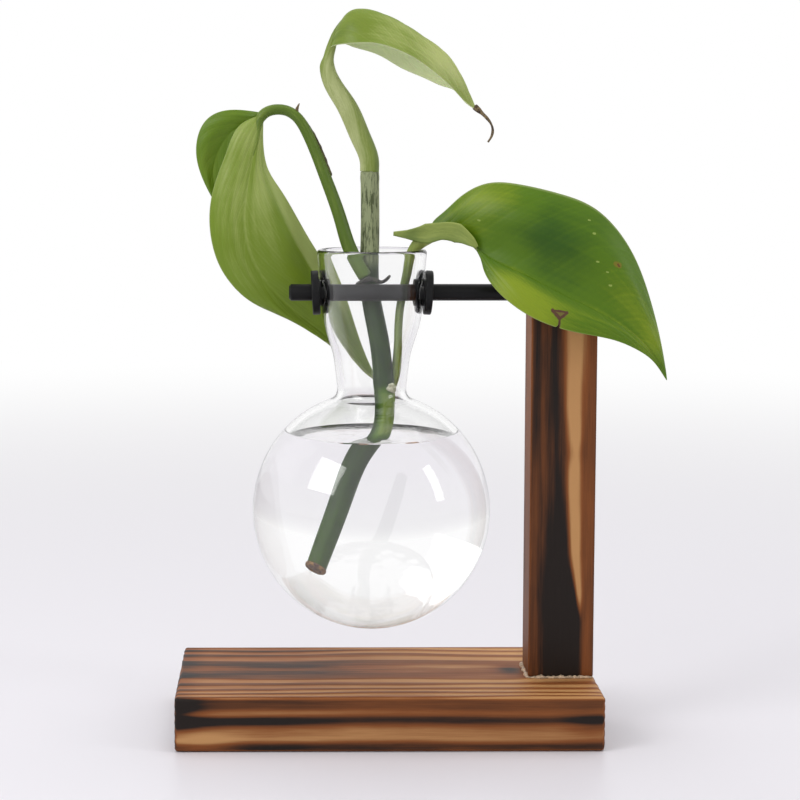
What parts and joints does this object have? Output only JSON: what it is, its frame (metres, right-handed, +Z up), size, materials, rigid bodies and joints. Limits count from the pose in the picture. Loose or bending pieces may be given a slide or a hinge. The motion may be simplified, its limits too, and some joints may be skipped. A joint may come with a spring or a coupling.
{
  "type": "propagation vase",
  "caption": "Round clear glass flask of water with a leafy climbing-plant cutting, hung on a black rod from a post on a scorched pine base board.",
  "frame": {"origin": "centre of the base board's underside", "axes": "+X along the rod towards the post, +Y away from the viewer, +Z up"},
  "size_m": [0.1605, 0.08, 0.2418],
  "materials": {
    "scorched_pine": "scorched and brushed pine, thin satin coat",
    "screw_steel": "plain",
    "dried_glue": "dried, cloudy",
    "black_rod": "satin black",
    "black_rubber": "matte",
    "clear_glass": "clear, polished",
    "water": "clear",
    "stem_green": "waxy",
    "cut_brown": "dull",
    "scar_white": "dull",
    "root_dark": "dull",
    "petiole_light": "waxy",
    "petiole_mid": "waxy",
    "leaf_green": "waxy, veined",
    "leaf_olive": "waxy, veined",
    "leaf_dark": "waxy, veined",
    "leaf_deep": "glossy, veined",
    "dry_brown": "dry"
  },
  "bodies": {
    "stand": {"base_board": "scorched_pine", "post": "scorched_pine", "post_screws": "screw_steel", "glue_bead": "dried_glue"},
    "rod": {"rod": "black_rod"},
    "grommets": {"left_grommet": "black_rubber", "right_grommet": "black_rubber"},
    "flask": {"glass_flask": "clear_glass", "water": "water", "vine_stem": "stem_green", "stem_cut_end": "cut_brown", "node_scar": "scar_white", "aerial_root": "root_dark", "top_petiole": "petiole_light", "top_petiole_stub": "petiole_light", "top_leaf": "leaf_green", "top_leaf_dry_tip": "dry_brown", "left_petiole": "petiole_mid", "left_petiole_husk": "dry_brown", "left_petiole_spike": "dry_brown", "left_leaf": "leaf_olive", "left_leaf_lobe": "leaf_dark", "right_petiole": "petiole_mid", "right_leaf_sheath": "petiole_light", "right_leaf": "leaf_deep"}
  },
  "joints": [
    {"name": "rod_draw", "type": "slide", "parent": "stand", "child": "rod", "axis": [-1, 0, 0], "range_m": [0, 0.014]},
    {"name": "flask_slide", "type": "slide", "parent": "rod", "child": "grommets", "axis": [-1, 0, 0], "range_m": [-0.01, 0.055]},
    {"name": "flask_swing", "type": "hinge", "parent": "grommets", "child": "flask", "pos_m": [-0.005, 0, 0.1471], "axis": [1, 0, 0], "range_deg": [-30, 30]}
  ]
}
